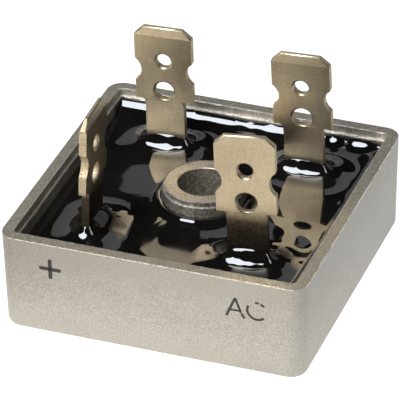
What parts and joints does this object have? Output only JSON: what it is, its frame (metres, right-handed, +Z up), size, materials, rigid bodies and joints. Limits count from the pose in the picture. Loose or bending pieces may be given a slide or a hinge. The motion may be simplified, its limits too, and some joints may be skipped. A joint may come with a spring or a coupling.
{
  "type": "bridge rectifier",
  "caption": "Bridge rectifier: square metal tray with a hollow screw post, potted in black epoxy, with upright push-on blades over soldered diode dice.",
  "frame": {"origin": "centre of the tray's base, on the face that meets the heat sink", "axes": "+Z up the screw post towards the blade tips; -Y towards the side with the plus mark"},
  "size_m": [0.033, 0.033, 0.0235],
  "materials": {
    "tray_metal": "tumbled, satin",
    "plated_blade": "nickel plated, warm tint",
    "potting_resin": "glossy black epoxy",
    "wafer_ceramic": "matt",
    "silicon": "dark grey, polished",
    "solder": "dull",
    "coating": "matt white silicone"
  },
  "bodies": {
    "root": {"case_tray": "tray_metal", "base_insulator": "wafer_ceramic", "lead_positive": "plated_blade", "lead_negative": "plated_blade", "lead_ac_front": "plated_blade", "lead_ac_back": "plated_blade", "die_front": "silicon", "die_right": "silicon", "die_back": "silicon", "die_left": "silicon", "solder_lower_front": "solder", "solder_lower_right": "solder", "solder_lower_back": "solder", "solder_lower_left": "solder", "solder_upper_front": "solder", "solder_upper_right": "solder", "solder_upper_back": "solder", "solder_upper_left": "solder", "junction_coat_front": "coating", "junction_coat_right": "coating", "junction_coat_back": "coating", "junction_coat_left": "coating", "potting_compound": "potting_resin"}
  },
  "joints": []
}
